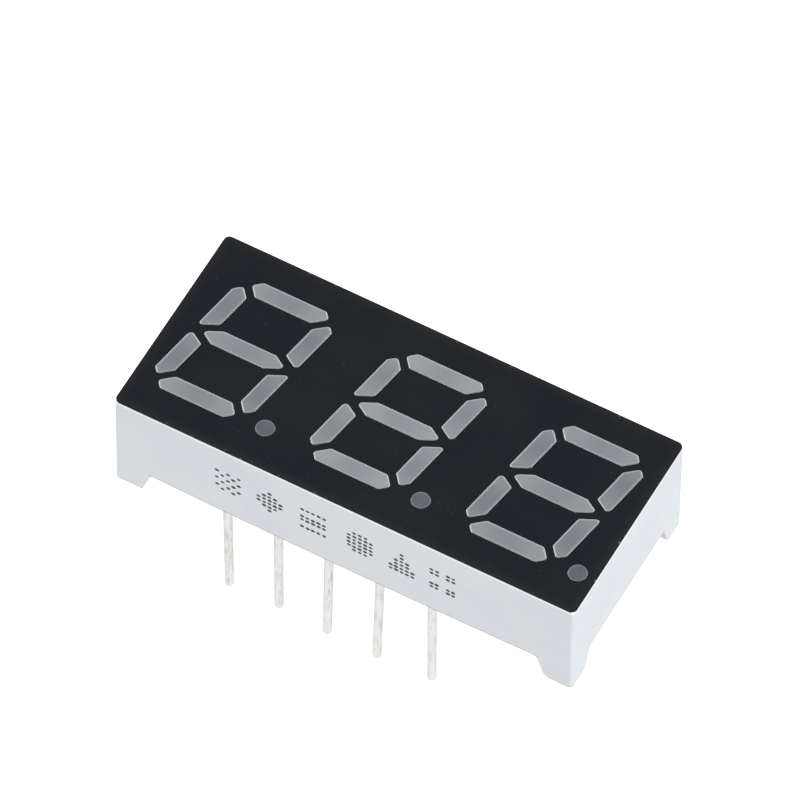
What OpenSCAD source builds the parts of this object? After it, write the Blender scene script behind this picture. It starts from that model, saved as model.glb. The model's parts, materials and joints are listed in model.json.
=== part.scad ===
// Seven segment display: three slanted digits and their decimal points, face up, in one white
// housing that stands on two rows of round pins. X runs along the digits and Z points up.
// The origin is under the middle of the housing, on the plane of the pin tips.

/* [Housing] */
// Plastic beside the outermost segments, at each end of the housing
side_margin = 0.6; // [0.5:0.01:1.5]
// Plastic in front of and behind the digits
front_margin = 1.52; // [1.3:0.01:3]
// Height of the housing, from the ends of its feet to its face
body_h = 5.9; // [5:0.1:9]
// Thickness of the walls round the circuit board
wall_t = 0.45; // [0.3:0.01:0.5]
// Depth by which the lower edges of the long walls bow down between the feet
wall_bow = 0.12; // [0:0.01:0.15]
// Radius of the upright corners
corner_r = 0.17; // [0.16:0.01:0.5]
// Radius that rounds the edge of the face
edge_r = 0.07; // [0.05:0.01:0.15]

/* [Feet] */
// Height of the feet below the walls
foot_h = 1.26; // [0.5:0.01:2]
// Length of a foot's end, along the housing
foot_l = 1.36; // [0.8:0.01:1.8]
// Depth of a foot's end, front to back
foot_d = 1.27; // [0.8:0.01:1.4]
// Extra length of a foot where it meets the long wall
foot_flare_l = 0.4; // [0.1:0.01:0.8]
// Extra depth of a foot where it meets the end wall
foot_flare_d = 0.32; // [0.1:0.01:0.8]
// Radius between a foot's inner side and the wall's lower edge
foot_fillet = 0.25; // [0.1:0.01:0.4]
// Radius of the two right-hand feet's inner lower corner, seen from the front
foot_round = 0.4; // [0.1:0.01:0.5]
// Radius of the two right-hand feet's inner lower corner, seen from the end
foot_end_round = 0.25; // [0.1:0.01:0.5]

/* [Digits] */
// Distance from one digit to the next
digit_pitch = 7.65; // [7.3:0.01:9]
// Height of a digit
digit_h = 6.92; // [6.5:0.01:7.6]
// Width of a digit, measured before it is slanted
digit_w = 4.85; // [4.5:0.01:5.3]
// Slant of the digits, in degrees
digit_slant = 10; // [0:0.5:12]
// Shift of the three digits along the housing
digit_shift_x = -0.04; // [-0.1:0.01:0.1]
// Shift of the three digits towards the back
digit_shift_y = 0.04; // [-0.1:0.01:0.1]

/* [Segments] */
// Width of the three level bars
bar_h = 0.79; // [0.6:0.01:1.1]
// Width of the four upright bars
bar_v = 0.76; // [0.6:0.01:1.1]
// Gap between two segments that meet
segment_gap = 0.41; // [0.2:0.01:0.5]
// Length cut off each outer corner of a digit
digit_chamfer = 0.88; // [0.5:0.01:1]
// Slope of the ends of the segments round the middle bar, in degrees
middle_slope = 29; // [22:1:40]
// Radius that rounds every corner of a segment
segment_round = 0.11; // [0.05:0.01:0.15]

/* [Decimal points] */
// Diameter of a decimal point at the face
point_d = 0.79; // [0.7:0.01:1]
// Distance of a decimal point to the right of its digit's middle
point_x = 2.81; // [2.6:0.01:2.9]
// Distance of a decimal point in front of its digit's middle
point_y = 3.11; // [3:0.01:3.3]
// Diameter of a decimal point at the circuit board
point_root_d = 0.74; // [0.65:0.01:0.8]

/* [Light wells and face] */
// Size of a well at the circuit board, as a share of its size at the face
well_taper = 0.56; // [0.5:0.01:0.9]
// Thickness of the black face mask
mask_t = 0.05; // [0.02:0.01:0.1]
// White rim left between a segment and the face mask
mask_rim = 0.04; // [0.02:0.01:0.06]
// Radius of the face mask's corners
mask_corner_r = 0.2; // [0.1:0.01:0.5]

/* [Circuit board and potting] */
// Thickness of the circuit board
board_t = 0.8; // [0.4:0.1:1.2]
// Clearance round the edge of the circuit board
board_clearance = 0.03; // [0.02:0.01:0.05]
// Thickness of the copper
copper_t = 0.035; // [0.02:0.005:0.07]
// Thickness of the potting behind the circuit board
potting_t = 0.71; // [0.4:0.01:1]
// Depth of the potting's surface inside the walls
potting_recess = 0.05; // [0.03:0.01:0.2]
// Depth to which the potting climbs along each pin
potting_climb = 0.15; // [0.15:0.01:0.3]
// Width of that climb's ring at the potting's surface
potting_ring = 0.2; // [0.1:0.01:0.3]
// Width of that climb's ring at its lower end
potting_toe = 0.03; // [0.02:0.01:0.1]

/* [Lamps] */
// Side of a square LED chip
chip_w = 0.22; // [0.18:0.01:0.24]
// Thickness of an LED chip
chip_t = 0.12; // [0.08:0.01:0.2]
// Distance from a chip's middle to its bond pad's middle
bond_span = 0.34; // [0.32:0.01:0.38]
// Diameter of a bond wire
bond_wire_d = 0.04; // [0.02:0.01:0.05]
// Side of the square pad under a chip
chip_pad_w = 0.28; // [0.24:0.01:0.3]
// Side of a square bond pad
bond_pad_w = 0.2; // [0.14:0.01:0.24]

/* [Pins] */
// Distance from one pin to the next in a row
pin_pitch = 2.54; // [2:0.01:3]
// Distance between the two rows of pins
pin_rows = 7.62; // [7:0.01:8]
// Diameter of a pin
pin_d = 0.41; // [0.35:0.01:0.6]
// Reach of the pins below the feet
pin_reach = 6.6; // [2:0.1:12]
// Radius that rounds the edge of a pin's tip
pin_tip_round = 0.14; // [0.05:0.01:0.16]
// Depth to which a pin's round wire is sunk in the climbed potting
pin_sink = 0.02; // [0.01:0.01:0.1]
// Side of a pin's square tail, which goes through the board
pin_tail_w = 0.3; // [0.2:0.01:0.32]
// Diameter of the board's plated holes
pin_hole_d = 0.46; // [0.46:0.01:0.6]
// Width of the copper ring round a plated hole
pin_pad_ring = 0.2; // [0.1:0.01:0.25]
// Height of a solder joint
solder_h = 0.35; // [0.2:0.01:0.38]
// Width of a solder joint's ring at its lower end
solder_toe = 0.05; // [0.02:0.01:0.1]

/* [Hidden] */
// Places in the pin numbering
PIN_PLACES = 12;
// Places that have a pin: the sixth has none
PINS = [1, 2, 3, 4, 5, 7, 8, 9, 10, 11, 12];
// Lean of each place's pin along the housing, in degrees, as this display's pins were bent
PIN_LEAN = [0.6, 0.2, -0.7, -1.15, 0.3, 0, 0, 0, 0, 0, 0, 0];
// Length by which each place's pin is cut shorter than the longest
PIN_CUT = [0.25, 0.31, 0.08, 0, 0.24, 0, 0, 0, 0, 0, 0, 0];

DIGITS = [1, 2, 3];
SEGMENTS = ["a", "b", "c", "d", "e", "f", "g", "dp"];

// Lengths of the housing that follow from the digits it frames
body_l = (len(DIGITS) - 1) * digit_pitch + digit_w + digit_h * tan(digit_slant) + 2 * side_margin;
body_d = digit_h + 2 * front_margin;

// Levels, from the pin tips up
z_seat = pin_reach;
z_wall = z_seat + foot_h;
z_potting = z_wall + potting_recess;
z_grip = z_potting - potting_climb;
z_back = z_potting + potting_t;
z_board = z_back + board_t;
z_face = z_seat + body_h;
z_deck = z_face - mask_t;

// Lines that bound the segments of a digit, measured from the digit's middle
half_w = digit_w / 2;
half_h = digit_h / 2;
chamfer_sum = half_w + half_h - digit_chamfer;
mitre_sum = (half_h - bar_h) - (half_w - bar_v);

// Length by which a cut passes the surface that it opens
cut = 0.01;
// Straight pieces in one rounded corner, and in a long wall's bowed edge
ARC_STEPS = 3;
BOW_STEPS = 14;
$fn = 48;

WHITE = [0.88, 0.9, 0.91];
BLACK = [0.14, 0.14, 0.16];
MILKY = [0.63, 0.65, 0.67];
BOARD_GREEN = [0.24, 0.42, 0.28];
COPPER = [0.78, 0.5, 0.3];
TIN = [0.8, 0.8, 0.79];
SOLDER = [0.68, 0.69, 0.7];
CLEAR_RESIN = [0.78, 0.78, 0.72];
CHIP_GREY = [0.45, 0.42, 0.4];
GOLD = [0.85, 0.68, 0.3];

function unit(v) = v / norm(v);

function turned(v, angle) = [
    v.x * cos(angle) - v.y * sin(angle),
    v.x * sin(angle) + v.y * cos(angle)
];

function backwards(points) = [for (i = [len(points) - 1:-1:0]) points[i]];

// One corner of an anticlockwise outline, as an arc that touches both of its sides
function rounded_corner(before, here, after, radius) =
    let (
        back = unit(before - here),
        on = unit(after - here),
        half = acos(back * on) / 2,
        middle = here + unit(back + on) * radius / sin(half),
        start = here + back * radius / tan(half) - middle,
        sweep = 180 - 2 * half
    )
    [for (step = [0:ARC_STEPS]) middle + turned(start, sweep * step / ARC_STEPS)];

// An anticlockwise convex outline with its corners rounded, each by its own radius
function rounded_outline(points, radii) =
    let (count = len(points))
    [for (i = [0:count - 1])
        each radii[i] > 0
            ? rounded_corner(points[(i + count - 1) % count], points[i], points[(i + 1) % count],
                radii[i])
            : [points[i]]];

// Distance by which a mitred end stays behind its mitre line, for an outline grown by `grow`
function end_gap(grow) = segment_gap / 2 - grow;

// The upper level bar, anticlockwise from its lower left shoulder
function top_bar(grow) =
    let (
        top = half_h + grow,
        bottom = half_h - bar_h - grow,
        chamfer = chamfer_sum + grow * sqrt(2),
        mitre = mitre_sum + end_gap(grow) * sqrt(2),
        tip = [(chamfer - mitre) / 2, (chamfer + mitre) / 2]
    )
    [[mitre - bottom, bottom], [bottom - mitre, bottom], tip, [chamfer - top, top],
        [top - chamfer, top], [-tip.x, tip.y]];

// The upper right bar, anticlockwise from its lower inner corner
function right_bar(grow) =
    let (
        outer = half_w + grow,
        inner = half_w - bar_v - grow,
        chamfer = chamfer_sum + grow * sqrt(2),
        mitre = mitre_sum - end_gap(grow) * sqrt(2),
        reach = half_w + end_gap(grow) / sin(middle_slope)
    )
    [[inner, (reach - inner) * tan(middle_slope)], [outer, (reach - outer) * tan(middle_slope)],
        [outer, chamfer - outer], [(chamfer - mitre) / 2, (chamfer + mitre) / 2],
        [inner, inner + mitre]];

// The middle bar, anticlockwise from its left tip
function middle_bar(grow) =
    let (
        side = bar_h / 2 + grow,
        tip = half_w - end_gap(grow) / sin(middle_slope),
        shoulder = tip - side / tan(middle_slope)
    )
    [[-tip, 0], [-shoulder, -side], [shoulder, -side], [tip, 0], [shoulder, side],
        [-shoulder, side]];

// An outline mirrored left to right (sx = -1) or front to back (sy = -1), still anticlockwise
function mirrored(points, sx, sy) =
    let (flipped = [for (p = points) [p.x * sx, p.y * sy]])
    sx * sy < 0 ? backwards(flipped) : flipped;

function upright_outline(segment, grow) =
    segment == "a" ? top_bar(grow)
    : segment == "b" ? right_bar(grow)
    : segment == "c" ? mirrored(right_bar(grow), 1, -1)
    : segment == "d" ? mirrored(top_bar(grow), 1, -1)
    : segment == "e" ? mirrored(right_bar(grow), -1, -1)
    : segment == "f" ? mirrored(right_bar(grow), -1, 1)
    : middle_bar(grow);

// Middle of a segment before the slant, which is where its lamp sits
function upright_middle(segment) =
    let (
        bar_x = half_w - bar_v / 2,
        bar_y = half_h - bar_h / 2
    )
    segment == "a" ? [0, bar_y]
    : segment == "b" ? [bar_x, bar_y / 2]
    : segment == "c" ? [bar_x, -bar_y / 2]
    : segment == "d" ? [0, -bar_y]
    : segment == "e" ? [-bar_x, -bar_y / 2]
    : segment == "f" ? [-bar_x, bar_y / 2]
    : [0, 0];

function digit_middle(digit) = [
    (digit - (len(DIGITS) + 1) / 2) * digit_pitch + digit_shift_x,
    digit_shift_y
];

function slanted(p) = [p.x + p.y * tan(digit_slant), p.y];

// Outline of a segment at the face, rounded, slanted and in its place
function segment_outline(segment, digit, grow) =
    let (
        corners = upright_outline(segment, grow),
        radii = [for (p = corners) segment_round + grow]
    )
    [for (p = rounded_outline(corners, radii)) digit_middle(digit) + slanted(p)];

function lamp_place(segment, digit) =
    digit_middle(digit)
    + (segment == "dp" ? [point_x, -point_y] : slanted(upright_middle(segment)));

// Direction of a segment's length, along which its chip and its bond pad lie
function lamp_turn(segment) =
    segment == "a" || segment == "d" || segment == "g" || segment == "dp" ? 0 : 90 - digit_slant;

function light_guide_name(segment, digit) =
    str(segment == "dp" ? "decimal_point" : str("segment_", segment), "_digit_", digit);

// Share of its face size that a well has at a level
function well_share(root, z) = root + (1 - root) * (z - z_board) / (z_face - z_board);

function pin_place(k) =
    let (
        row_places = PIN_PLACES / 2,
        column = k <= row_places ? k - 1 : PIN_PLACES - k
    )
    [(column - (row_places - 1) / 2) * pin_pitch, k <= row_places ? -pin_rows / 2 : pin_rows / 2];

// A rectangle with round corners, about the middle
module round_rectangle(l, d, r) {
    square([l - 2 * r, d], center = true);
    square([l, d - 2 * r], center = true);
    for (x = [-1, 1], y = [-1, 1])
        translate([x * (l / 2 - r), y * (d / 2 - r)]) circle(r = r);
}

// Everything within the tapered well of one segment or point, between two levels
module well_space(segment, digit, low, high) {
    if (segment == "dp")
        point_space(digit, low, high);
    else
        segment_space(segment_outline(segment, digit, 0), lamp_place(segment, digit), low, high);
}

module point_space(digit, low, high) {
    root = point_root_d / point_d;
    translate(concat(lamp_place("dp", digit), low))
        cylinder(h = high - low, d1 = point_d * well_share(root, low),
            d2 = point_d * well_share(root, high));
}

module segment_space(outline, middle, low, high) {
    count = len(outline);
    function ring(z) = [for (p = outline)
        concat(middle + (p - middle) * well_share(well_taper, z), z)];
    polyhedron(
        points = concat(ring(low), ring(high)),
        faces = concat(
            [[for (i = [0:count - 1]) i]],
            [[for (i = [count - 1:-1:0]) count + i]],
            [for (i = [0:count - 1])
                let (next = (i + 1) % count)
                [i, count + i, count + next, next]]
        )
    );
}

// Quarter turn that rounds the edge of the face, from the outer side up to the top
function edge_arc(outer, top) = [
    for (step = [0:ARC_STEPS])
        let (angle = 90 * step / ARC_STEPS)
        [outer - edge_r + edge_r * cos(angle), top - edge_r + edge_r * sin(angle)]
];

// Upright section of the housing, half of it mirrored onto the other side
function block_section(outer) =
    let (half = concat([[outer, z_wall]], edge_arc(outer, z_deck)))
    concat(half, [for (p = backwards(half)) [-p.x, p.y]]);

module housing_block() {
    rotate([90, 0, 0])
        linear_extrude(body_d - 2 * corner_r, center = true)
            polygon(block_section(body_l / 2));
    rotate([90, 0, 90])
        linear_extrude(body_l - 2 * corner_r, center = true)
            polygon(block_section(body_d / 2));
    for (x = [-1, 1], y = [-1, 1])
        translate([x * (body_l / 2 - corner_r), y * (body_d / 2 - corner_r), 0])
            rotate_extrude()
                polygon(concat([[0, z_deck], [0, z_wall], [corner_r, z_wall]],
                    edge_arc(corner_r, z_deck)));
}

// Side view of a foot, from its outer corner inwards, with its end on the seat
module foot_side(reach, flare, round) {
    low = [reach, 0];
    high = [reach + flare, foot_h];
    polygon(concat(
        [[0, foot_h], [0, 0]],
        round > 0 ? rounded_corner([0, 0], low, high, round) : [low],
        flare > 0 ? backwards(rounded_corner(high + [1, 0], high, low, foot_fillet)) : [high]
    ));
}

// One foot in the corner where x and y are 0: a post with a flared flange in each wall
module foot(round, end_round) {
    intersection() {
        translate([0, foot_d, 0]) rotate([90, 0, 0])
            linear_extrude(foot_d) foot_side(foot_l, 0, round);
        rotate([90, 0, 90]) linear_extrude(foot_l) foot_side(foot_d, 0, end_round);
    }
    translate([0, wall_t, 0]) rotate([90, 0, 0])
        linear_extrude(wall_t) foot_side(foot_l, foot_flare_l, round);
    rotate([90, 0, 90]) linear_extrude(wall_t) foot_side(foot_d, foot_flare_d, end_round);
}

module feet() {
    intersection() {
        translate([0, 0, z_seat]) linear_extrude(foot_h) round_rectangle(body_l, body_d, corner_r);
        for (right = [0, 1], back = [0, 1])
            mirror([right, 0, 0]) mirror([0, back, 0])
                translate([-body_l / 2, -body_d / 2, z_seat])
                    foot(right * foot_round, right * foot_end_round);
    }
}

// Lower edge of a long wall, bowed down between its two feet
module bowed_edge() {
    half = body_l / 2 - foot_l - foot_flare_l;
    rotate([90, 0, 0]) linear_extrude(wall_t) polygon(concat(
        [[half, z_wall + cut], [-half, z_wall + cut]],
        [for (step = [0:BOW_STEPS])
            let (x = half * (2 * step / BOW_STEPS - 1))
            [x, z_wall - wall_bow * (1 - pow(x / half, 2))]]
    ));
}

// Plan of the pocket behind the deck, less a clearance all round: the feet's posts fill its corners
module pocket_plan(clearance) {
    difference() {
        square([body_l - 2 * (wall_t + clearance), body_d - 2 * (wall_t + clearance)],
            center = true);
        for (x = [-1, 1], y = [-1, 1])
            translate([x * body_l / 2, y * body_d / 2])
                square([2 * (foot_l + clearance), 2 * (foot_d + clearance)], center = true);
    }
}

// White moulding: deck with light wells, walls round the pocket, and four feet
module reflector_housing() {
    color(WHITE) difference() {
        union() {
            housing_block();
            feet();
            for (back = [0, 1])
                mirror([0, back, 0]) translate([0, wall_t - body_d / 2, 0]) bowed_edge();
        }
        translate([0, 0, z_wall - cut]) linear_extrude(z_board - z_wall + cut) pocket_plan(0);
        for (digit = DIGITS, segment = SEGMENTS)
            well_space(segment, digit, z_board - cut, z_face);
    }
}

// Black print on the deck, with a window round each segment and point
module face_mask() {
    color(BLACK) translate([0, 0, z_deck]) linear_extrude(mask_t) difference() {
        round_rectangle(body_l - 2 * edge_r, body_d - 2 * edge_r, mask_corner_r);
        for (digit = DIGITS, segment = SEGMENTS)
            if (segment == "dp")
                translate(lamp_place(segment, digit)) circle(d = point_d + 2 * mask_rim);
            else
                polygon(segment_outline(segment, digit, mask_rim));
    }
}

// Puts a piece at a lamp, with X along the segment and Z from the board's face
module at_lamp(segment, digit) {
    translate(concat(lamp_place(segment, digit), z_board))
        rotate([0, 0, lamp_turn(segment)]) children();
}

module led_chip() {
    translate([-bond_span / 2, 0, chip_t / 2]) cube([chip_w, chip_w, chip_t], center = true);
}

// Half loop from the chip's top over to the bond pad, and straight down to it
module bond_wire() {
    translate([0, 0, chip_t]) rotate([90, 0, 0])
        rotate_extrude(angle = 180) translate([bond_span / 2, 0]) circle(d = bond_wire_d);
    translate([bond_span / 2, 0, 0]) cylinder(h = chip_t, d = bond_wire_d);
}

// Square pads let into the board's face, one under the chip and one under the wire's end
module contact_pads() {
    translate([-bond_span / 2, 0, -copper_t / 2])
        cube([chip_pad_w, chip_pad_w, copper_t], center = true);
    translate([bond_span / 2, 0, -copper_t / 2])
        cube([bond_pad_w, bond_pad_w, copper_t], center = true);
}

// Milky resin slug that fills one well, cast round its chip and wire
module light_guide(segment, digit) {
    color(MILKY) difference() {
        well_space(segment, digit, z_board, z_face);
        at_lamp(segment, digit) {
            led_chip();
            bond_wire();
        }
    }
}

// Rounded tip of a pin, with its end at zero
module pin_tip() {
    flat = pin_d / 2 - pin_tip_round;
    rotate_extrude() polygon(concat(
        [[0, pin_tip_round], [0, 0]],
        [for (step = [0:ARC_STEPS])
            let (angle = 90 * step / ARC_STEPS)
            [flat + pin_tip_round * sin(angle), pin_tip_round * (1 - cos(angle))]]
    ));
}

// Whole form of a pin: round wire that leans from the potting down, and an upright tail
module pin_form(k) {
    reach = z_grip / cos(PIN_LEAN[k - 1]) - PIN_CUT[k - 1];
    translate(concat(pin_place(k), z_grip)) {
        rotate([0, -PIN_LEAN[k - 1], 0]) translate([0, 0, -reach]) {
            pin_tip();
            translate([0, 0, pin_tip_round])
                cylinder(h = reach - pin_tip_round + pin_sink, d = pin_d);
        }
        translate([-pin_tail_w / 2, -pin_tail_w / 2, 0])
            cube([pin_tail_w, pin_tail_w, z_board - z_grip]);
    }
}

module pin(k) {
    color(TIN) pin_form(k);
}

// Copper ring at a plated hole, let into the board's underside
module pin_ring(k) {
    translate(concat(pin_place(k), z_back))
        cylinder(h = copper_t, d = pin_hole_d + 2 * pin_pad_ring);
}

module plated_hole(k) {
    translate(concat(pin_place(k), z_back - cut))
        cylinder(h = board_t + 2 * cut, d = pin_hole_d);
}

module pin_pads() {
    color(COPPER) for (k = PINS) difference() {
        pin_ring(k);
        plated_hole(k);
    }
}

module circuit_board() {
    color(BOARD_GREEN) difference() {
        translate([0, 0, z_back]) linear_extrude(board_t) pocket_plan(board_clearance);
        for (k = PINS) {
            pin_ring(k);
            plated_hole(k);
        }
        for (digit = DIGITS, segment = SEGMENTS)
            at_lamp(segment, digit) contact_pads();
    }
}

// Solder at a pin: a cone under its copper ring, and the fill of its plated hole
module solder_form(k) {
    translate(concat(pin_place(k), z_back - solder_h))
        cylinder(h = solder_h, d1 = pin_d + 2 * solder_toe, d2 = pin_hole_d + 2 * pin_pad_ring);
    translate(concat(pin_place(k), z_back)) cylinder(h = board_t, d = pin_hole_d);
}

module solder_joints() {
    color(SOLDER) for (k = PINS) difference() {
        solder_form(k);
        pin_form(k);
    }
}

// Resin poured in behind the board, up to just inside the walls' edge, which climbs along the pins
module back_potting() {
    color(CLEAR_RESIN) difference() {
        union() {
            translate([0, 0, z_potting]) linear_extrude(potting_t) pocket_plan(0);
            for (k = PINS)
                translate(concat(pin_place(k), z_grip))
                    cylinder(h = potting_climb + cut, d1 = pin_d + 2 * potting_toe,
                        d2 = pin_d + 2 * potting_ring);
        }
        for (k = PINS) {
            solder_form(k);
            pin_form(k);
        }
    }
}

module contact_pads_digit(digit) {
    color(COPPER) for (segment = SEGMENTS) at_lamp(segment, digit) contact_pads();
}

module led_chips_digit(digit) {
    color(CHIP_GREY) for (segment = SEGMENTS) at_lamp(segment, digit) led_chip();
}

module bond_wires_digit(digit) {
    color(GOLD) for (segment = SEGMENTS) at_lamp(segment, digit) bond_wire();
}

reflector_housing();
face_mask();
for (digit = DIGITS, segment = SEGMENTS)
    light_guide(segment, digit);
circuit_board();
pin_pads();
solder_joints();
back_potting();
for (digit = DIGITS) {
    contact_pads_digit(digit);
    led_chips_digit(digit);
    bond_wires_digit(digit);
}
for (k = PINS)
    pin(k);
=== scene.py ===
"""Render scene of the seven segment display: looks of its pieces, floor, lights and camera."""

from __future__ import annotations

import json
import logging
import math
import random
from dataclasses import dataclass, field
from enum import Enum
from itertools import pairwise
from typing import Protocol

import bmesh
import bpy
from mathutils import Matrix, Vector

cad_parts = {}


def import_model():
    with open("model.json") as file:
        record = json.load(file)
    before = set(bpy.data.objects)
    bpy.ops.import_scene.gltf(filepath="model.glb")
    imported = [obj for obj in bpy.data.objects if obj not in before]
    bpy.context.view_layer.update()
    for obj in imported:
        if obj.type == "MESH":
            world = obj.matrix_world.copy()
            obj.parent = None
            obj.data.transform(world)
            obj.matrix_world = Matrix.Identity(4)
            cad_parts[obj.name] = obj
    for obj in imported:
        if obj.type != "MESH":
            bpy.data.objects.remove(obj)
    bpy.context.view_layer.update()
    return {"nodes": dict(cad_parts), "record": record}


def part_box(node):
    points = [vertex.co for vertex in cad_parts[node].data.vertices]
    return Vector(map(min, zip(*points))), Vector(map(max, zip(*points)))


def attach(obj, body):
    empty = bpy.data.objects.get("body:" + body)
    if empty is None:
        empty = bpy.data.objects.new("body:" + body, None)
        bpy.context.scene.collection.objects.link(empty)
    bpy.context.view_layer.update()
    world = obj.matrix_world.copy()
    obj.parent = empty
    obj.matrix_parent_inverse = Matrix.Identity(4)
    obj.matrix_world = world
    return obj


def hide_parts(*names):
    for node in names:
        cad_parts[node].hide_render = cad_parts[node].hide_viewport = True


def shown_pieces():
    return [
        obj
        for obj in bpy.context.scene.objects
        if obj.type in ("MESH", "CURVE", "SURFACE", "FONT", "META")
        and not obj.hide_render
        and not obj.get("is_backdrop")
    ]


LOG = logging.getLogger("seven_segment_display")
MM = 0.001
BODY = "root"

# Lengths in metres under which points are one point, lie on a cut, or lie at one height
MERGED = 1e-7
ON_CUT = 1e-8
LEVEL = 1e-6

# Sockets that share their names with others of their node, and so are found by place
MIX_FIRST, MIX_SECOND, MIXED = 6, 7, 2
RANDOM_LOW, RANDOM_HIGH, RANDOM_NUMBER = 2, 3, 1

Colour = tuple[float, float, float]
Socket = bpy.types.NodeSocket


def linear(level: float) -> float:
    """Turn one display level into a linear value.

    Args:
        level: Level as displayed, from 0 to 255.

    Returns:
        The linear value, from 0 to 1.
    """
    share = level / 255
    return share / 12.92 if share <= 0.04045 else ((share + 0.055) / 1.055) ** 2.4


def shown(red: float, green: float, blue: float) -> Colour:
    """Turn a display colour into a linear one.

    Args:
        red: Red level, from 0 to 255.
        green: Green level, from 0 to 255.
        blue: Blue level, from 0 to 255.

    Returns:
        The linear colour.
    """
    return linear(red), linear(green), linear(blue)


class Pattern(Enum):
    """Generic dot patterns of the print on the front wall, row by row from the top."""

    CHECKER = ("10101", "01010", "10101", "01010", "10101", "01010")
    DIAMOND = ("00100", "01110", "11111", "11111", "01110", "00100")
    STRIPES = ("11111", "00000", "11111", "11111", "00000", "11111")
    ROUND = ("01110", "11111", "11111", "11111", "11111", "01110")
    PYRAMID = ("00100", "00100", "01110", "01110", "11111", "11111")
    BLOCKS = ("11011", "11011", "00000", "00000", "11011", "11011")


class Nodes:
    """A small builder for one shader node tree."""

    def __init__(self, tree: bpy.types.NodeTree) -> None:
        """Keep the tree and empty it.

        Args:
            tree: Node tree that is filled.
        """
        self.tree = tree
        tree.nodes.clear()

    def add(self, kind: str, **settings: object) -> bpy.types.Node:
        """Add a node.

        Args:
            kind: Node type, such as "ShaderNodeMath".
            settings: Attributes of the node.

        Returns:
            The new node.
        """
        node = self.tree.nodes.new(kind)
        for name, value in settings.items():
            setattr(node, name, value)
        return node

    def feed(self, target: Socket, value: Socket | float | Colour) -> None:
        """Give an input a link or a constant.

        Args:
            target: Input socket.
            value: Output socket to link, or a constant.
        """
        if isinstance(value, Socket):
            self.tree.links.new(value, target)
        elif isinstance(value, tuple) and target.type == "RGBA":
            target.default_value = (*value, 1)
        else:
            target.default_value = value

    def math(
        self, operation: str, first: Socket | float, second: Socket | float = 0.0
    ) -> Socket:
        """Add a math node.

        Args:
            operation: Operation of the node, such as "MULTIPLY".
            first: First value.
            second: Second value.

        Returns:
            The result.
        """
        node = self.add("ShaderNodeMath", operation=operation)
        self.feed(node.inputs[0], first)
        self.feed(node.inputs[1], second)
        return node.outputs[0]

    def mix(
        self, share: Socket | float, first: Socket | Colour, second: Socket | Colour
    ) -> Socket:
        """Mix two colours.

        Args:
            share: Share of the second colour.
            first: Colour at share 0.
            second: Colour at share 1.

        Returns:
            The mixed colour.
        """
        node = self.add("ShaderNodeMix", data_type="RGBA")
        self.feed(node.inputs["Factor"], share)
        self.feed(node.inputs[MIX_FIRST], first)
        self.feed(node.inputs[MIX_SECOND], second)
        return node.outputs[MIXED]

    def ramp(
        self, value: Socket, low: float, high: float, to_low: float = 0.0, to_high: float = 1.0
    ) -> Socket:
        """Map a range of values smoothly onto another, with clamped ends.

        Args:
            value: Value that is mapped.
            low: Lower end of the range.
            high: Upper end of the range.
            to_low: Result at the lower end.
            to_high: Result at the upper end.

        Returns:
            The mapped value.
        """
        node = self.add("ShaderNodeMapRange", interpolation_type="SMOOTHSTEP")
        for name, given in zip(
            ("Value", "From Min", "From Max", "To Min", "To Max"),
            (value, low, high, to_low, to_high),
            strict=True,
        ):
            self.feed(node.inputs[name], given)
        return node.outputs["Result"]

    def place(self) -> Socket:
        """Add the coordinates of the object, in metres."""
        return self.add("ShaderNodeTexCoord").outputs["Object"]

    def attribute(self, name: str) -> Socket:
        """Add a number that the mesh carries.

        Args:
            name: Name of the mesh's attribute.

        Returns:
            The number.
        """
        return self.add("ShaderNodeAttribute", attribute_name=name).outputs["Fac"]

    def stretched(self, place: Socket, scale: Colour) -> Socket:
        """Stretch the coordinates along each axis.

        Args:
            place: Coordinates.
            scale: Factor along each axis.

        Returns:
            The stretched coordinates.
        """
        node = self.add("ShaderNodeMapping")
        node.inputs["Scale"].default_value = scale
        self.feed(node.inputs["Vector"], place)
        return node.outputs[0]

    def group(self, tree: bpy.types.NodeTree, **inputs: Socket | float) -> Socket:
        """Place a shared effect.

        Args:
            tree: Group of the effect.
            inputs: Values of its inputs by name.

        Returns:
            The effect's output.
        """
        node = self.add("ShaderNodeGroup", node_tree=tree)
        for name, value in inputs.items():
            self.feed(node.inputs[name], value)
        return node.outputs[0]


def effect_tree(
    name: str, inputs: dict[str, float | None], output: tuple[str, str]
) -> tuple[bpy.types.NodeTree, Nodes, bpy.types.Node, bpy.types.Node]:
    """Start a shader node group.

    Args:
        name: Name of the group.
        inputs: Default of each number by name, or None for a vector.
        output: Name and socket type of the output.

    Returns:
        The group, the builder of its nodes, its input node and its output node.
    """
    tree = bpy.data.node_groups.new(name, "ShaderNodeTree")
    for label, default in inputs.items():
        kind = "NodeSocketVector" if default is None else "NodeSocketFloat"
        socket = tree.interface.new_socket(label, in_out="INPUT", socket_type=kind)
        if default is not None:
            socket.default_value = default
    tree.interface.new_socket(output[0], in_out="OUTPUT", socket_type=output[1])
    nodes = Nodes(tree)
    return tree, nodes, nodes.add("NodeGroupInput"), nodes.add("NodeGroupOutput")


@dataclass(frozen=True)
class Patches:
    """Soft patches: noise cells to a metre, and the noise where they start and are full."""

    scale: float
    low: float
    high: float


@dataclass(frozen=True)
class Grain:
    """Fine grain: noise cells to a metre, and its depth in metres."""

    scale: float
    depth: float


@dataclass(frozen=True)
class Dust:
    """Dust: cells to a metre, a speck's radius in cells, and the share of empty cells."""

    scale: float
    size: float
    rarity: float


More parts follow.
